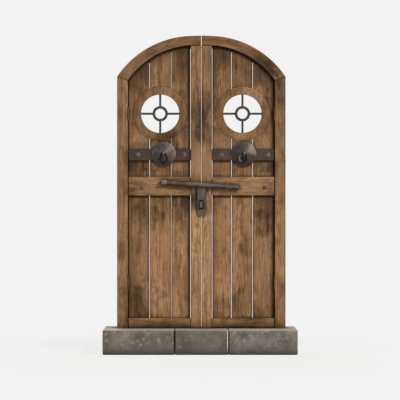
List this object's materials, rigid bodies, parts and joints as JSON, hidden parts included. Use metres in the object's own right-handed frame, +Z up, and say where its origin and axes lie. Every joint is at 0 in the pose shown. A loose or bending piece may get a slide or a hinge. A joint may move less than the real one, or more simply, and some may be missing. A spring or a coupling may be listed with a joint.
{
  "type": "arched double door",
  "caption": "Arched wooden double door in its rebated frame on a stone sill, with round grilled windows, iron straps, drop rings and a sliding bolt with a hasp.",
  "frame": {"origin": "floor under the middle of the sill", "axes": "+Z up, -Y out of the front of the door, +X to the right seen from the front"},
  "size_m": [1.444, 0.36, 2.379],
  "materials": {
    "oak": "weathered, oiled oak",
    "iron": "dark forged iron",
    "stone": "honed, mottled grey stone",
    "mortar": "rough, dark lime mortar"
  },
  "bodies": {
    "frame": {"crown_cramp": "iron", "jamb_dowels": "iron", "left_arch_head": "oak", "left_frame_hinges": "iron", "left_hinge_pins": "iron", "left_jamb": "oak", "right_arch_head": "oak", "right_frame_hinges": "iron", "right_hinge_pins": "iron", "right_jamb": "oak", "sill_mortar": "mortar", "sill_stone_left": "stone", "sill_stone_middle": "stone", "sill_stone_right": "stone"},
    "left_leaf": {"bolt_staples": "iron", "hasp_staple": "iron", "left_boss": "iron", "left_bottom_rail": "oak", "left_inner_plank": "oak", "left_leaf_hinges": "iron", "left_ledges": "oak", "left_meeting_stile": "oak", "left_mid_rail": "oak", "left_middle_plank_lower": "oak", "left_middle_plank_upper": "oak", "left_outer_plank": "oak", "left_rail_studs": "iron", "left_ring_eye": "iron", "left_roves": "iron", "left_strap": "iron", "left_strap_studs": "iron", "left_window_grille": "iron", "left_window_ring": "oak"},
    "right_leaf": {"bolt_keeper": "iron", "right_boss": "iron", "right_bottom_rail": "oak", "right_inner_plank": "oak", "right_leaf_hinges": "iron", "right_ledges": "oak", "right_meeting_stile": "oak", "right_mid_rail": "oak", "right_middle_plank_lower": "oak", "right_middle_plank_upper": "oak", "right_outer_plank": "oak", "right_rail_studs": "iron", "right_ring_eye": "iron", "right_roves": "iron", "right_strap": "iron", "right_strap_studs": "iron", "right_window_grille": "iron", "right_window_ring": "oak"},
    "bolt": {"bolt_bar": "iron"},
    "hasp": {"hasp": "iron"},
    "left_ring": {"left_pull_ring": "iron"},
    "right_ring": {"right_pull_ring": "iron"}
  },
  "joints": [
    {"name": "left_hinge", "type": "hinge", "parent": "frame", "child": "left_leaf", "pos_m": [-0.5405, -0.016, 1.2], "axis": [0, 0, -1], "range_deg": [0, 110]},
    {"name": "right_hinge", "type": "hinge", "parent": "frame", "child": "right_leaf", "pos_m": [0.5585, -0.016, 1.2], "axis": [0, 0, 1], "range_deg": [0, 110]},
    {"name": "bolt_slide", "type": "slide", "parent": "left_leaf", "child": "bolt", "axis": [0.9977, 0, -0.0673], "range_m": [0, 0.03]},
    {"name": "hasp_swing", "type": "hinge", "parent": "bolt", "child": "hasp", "pos_m": [0.009, -0.033, 1.26042], "axis": [-0.9977, 0, 0.0673], "range_deg": [0, 120]},
    {"name": "left_ring_swing", "type": "hinge", "parent": "left_leaf", "child": "left_ring", "pos_m": [-0.27298, -0.065, 1.49091], "axis": [-1, 0, 0], "range_deg": [-20, 100]},
    {"name": "right_ring_swing", "type": "hinge", "parent": "right_leaf", "child": "right_ring", "pos_m": [0.33101, -0.065, 1.49091], "axis": [-0.9397, 0, 0.342], "range_deg": [-20, 100]}
  ],
  "couplings": [
    {"joint": "right_hinge", "follows": "left_hinge", "ratio": 1},
    {"joint": "hasp_swing", "follows": "bolt_slide", "rad_per_m": 69.806}
  ]
}
